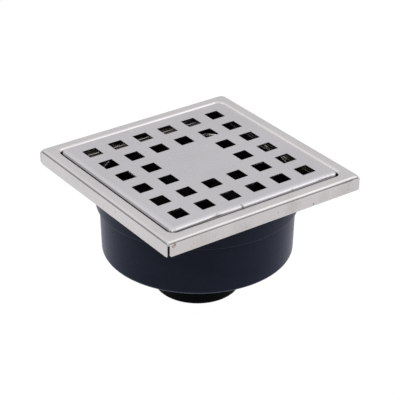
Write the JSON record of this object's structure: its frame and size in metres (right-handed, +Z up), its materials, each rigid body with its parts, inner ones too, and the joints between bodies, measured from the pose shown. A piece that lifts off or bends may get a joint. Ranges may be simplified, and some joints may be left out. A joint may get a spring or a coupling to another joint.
{
  "type": "floor drain grate",
  "caption": "Square stainless floor drain with a perforated lift-out grate in a folded frame, over a round plastic drum with a bell trap and a vertical outlet.",
  "frame": {"origin": "centre of the outlet pipe's lower end, which the drain stands on", "axes": "+Z up along the drum's axis, +X and +Y along the sides of the square frame"},
  "size_m": [0.1518, 0.1518, 0.0932],
  "materials": {
    "stainless_grate": "satin stainless sheet, softly polished folded edges",
    "stainless_frame": "satin stainless sheet with light handling marks on the skirt",
    "stainless_screw": "plain stainless",
    "abs_anthracite": "injection moulded, smooth satin",
    "abs_black": "injection moulded, satin black",
    "rubber_black": "moulded EPDM, matt"
  },
  "bodies": {
    "drain": {"frame_pan": "stainless_frame", "pan_seal": "rubber_black", "drum_ring": "abs_anthracite", "ring_oring": "rubber_black", "drum_body": "abs_anthracite", "outlet_pipe": "abs_black", "buffer_front": "rubber_black", "buffer_right": "rubber_black", "buffer_back": "rubber_black", "buffer_left": "rubber_black"},
    "grate": {"grate_plate": "stainless_grate"},
    "trap_insert": {"hair_strainer": "abs_black", "strainer_seal": "rubber_black", "bell_cup": "abs_black", "bell_gasket": "rubber_black", "lift_knob": "abs_black", "knob_screw": "stainless_screw", "screw_washer": "stainless_screw"},
    "riser": {"standpipe": "abs_black", "standpipe_oring": "rubber_black"}
  },
  "joints": [
    {"name": "grate_lift", "type": "slide", "parent": "drain", "child": "grate", "axis": [0, 0, 1], "range_m": [0, 0.15]},
    {"name": "insert_lift", "type": "slide", "parent": "drain", "child": "trap_insert", "axis": [0, 0, 1], "range_m": [0, 0.09]},
    {"name": "riser_lift", "type": "slide", "parent": "drain", "child": "riser", "axis": [0, 0, 1], "range_m": [0, 0.03]}
  ],
  "couplings": [
    {"joint": "insert_lift", "follows": "grate_lift", "ratio": 0.6},
    {"joint": "riser_lift", "follows": "grate_lift", "ratio": 0.2}
  ]
}
